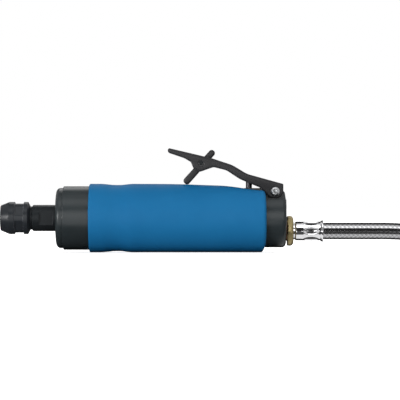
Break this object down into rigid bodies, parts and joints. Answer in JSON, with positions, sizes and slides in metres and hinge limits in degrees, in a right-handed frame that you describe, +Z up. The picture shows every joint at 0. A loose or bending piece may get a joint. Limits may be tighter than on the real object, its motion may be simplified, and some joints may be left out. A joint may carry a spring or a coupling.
{
  "type": "die grinder",
  "caption": "Straight pneumatic die grinder with a blue grip sleeve, a lever throttle with a safety catch, a collet chuck and a braided air hose.",
  "frame": {"origin": "on the surface that the tool rests on, below the middle of its length without the hose", "axes": "+X runs along the tool from its collet nut to its hose, +Z is up, on the lever's side"},
  "size_m": [0.3612, 0.1349, 0.0609],
  "materials": {
    "black_housing": "black anodised, satin",
    "blue_sleeve": "soft satin",
    "black_lever": "black coated, satin",
    "black_steel": "blackened",
    "bright_steel": "polished",
    "tool_steel": "ground",
    "brass": "satin",
    "copper": "dull",
    "bronze": "sintered",
    "composite": "woven",
    "seal_rubber": "matt",
    "chrome": "polished",
    "steel_braid": "stainless braid over rubber"
  },
  "bodies": {
    "housing": {"motor_housing": "black_housing", "front_cap": "black_housing", "grip_sleeve": "blue_sleeve", "throttle_housing": "black_housing", "cylinder_liner": "tool_steel", "front_end_plate": "tool_steel", "rear_end_plate": "tool_steel", "preload_washer": "bright_steel", "front_bearing_outer_ring": "bright_steel", "rear_bearing_outer_ring": "bright_steel", "housing_gasket": "seal_rubber", "exhaust_mufflers": "bronze", "lever_pivot_screw": "bright_steel", "lever_pivot_nut": "bright_steel", "plunger_bush": "brass", "valve_seat": "brass", "valve_plug": "brass", "valve_spring": "bright_steel", "inlet_bush": "brass", "inlet_seal_ring": "copper", "inlet_strainer": "bright_steel", "hose_insert": "chrome", "hose_ferrule": "chrome", "hose_lead": "steel_braid", "hose_coil": "steel_braid", "hose_end_fitting": "chrome"},
    "spindle": {"spindle": "black_steel", "rotor": "tool_steel", "rotor_vanes": "composite", "front_bearing_inner_ring": "bright_steel", "front_bearing_balls": "bright_steel", "front_bearing_cage": "brass", "rear_bearing_inner_ring": "bright_steel", "rear_bearing_balls": "bright_steel", "rear_bearing_cage": "brass"},
    "collet": {"collet": "bright_steel"},
    "nut": {"collet_nut": "black_steel"},
    "lever": {"throttle_lever": "black_lever", "catch_pin": "bright_steel", "catch_spring": "bright_steel"},
    "catch": {"safety_catch": "black_lever"},
    "valve": {"valve_plunger": "bright_steel", "valve_poppet": "brass", "poppet_seal": "seal_rubber"}
  },
  "joints": [
    {"name": "spindle_spin", "type": "hinge", "parent": "housing", "child": "spindle", "pos_m": [0, 0, 0.0201], "axis": [1, 0, 0], "continuous": true},
    {"name": "collet_slide", "type": "slide", "parent": "spindle", "child": "collet", "axis": [-1, 0, 0], "range_m": [0, 0.0015]},
    {"name": "nut_turn", "type": "hinge", "parent": "collet", "child": "nut", "pos_m": [-0.077, 0, 0.0201], "axis": [-1, 0, 0], "range_deg": [0, 720]},
    {"name": "lever_press", "type": "hinge", "parent": "housing", "child": "lever", "pos_m": [0.0751, 0, 0.03568], "axis": [0, -1, 0], "range_deg": [0, 9], "stiffness_Nm_per_rad": 1.5, "springref_deg": -5.73},
    {"name": "catch_fold", "type": "hinge", "parent": "lever", "child": "catch", "pos_m": [0.0318, 0, 0.0522], "axis": [0, 1, 0], "range_deg": [0, 58.6], "stiffness_Nm_per_rad": 0.0001, "springref_deg": -22.92},
    {"name": "valve_slide", "type": "slide", "parent": "housing", "child": "valve", "axis": [0, 0, -1], "range_m": [0, 0.00243], "stiffness_N_per_m": 20, "springref_m": -0.002, "deforming": ["valve_spring"]}
  ],
  "couplings": [
    {"joint": "nut_turn", "follows": "collet_slide", "rad_per_m": 8377.5},
    {"joint": "lever_press", "follows": "valve_slide", "rad_per_m": 64.64},
    {"joint": "catch_fold", "follows": "valve_slide", "rad_per_m": 420.16}
  ]
}
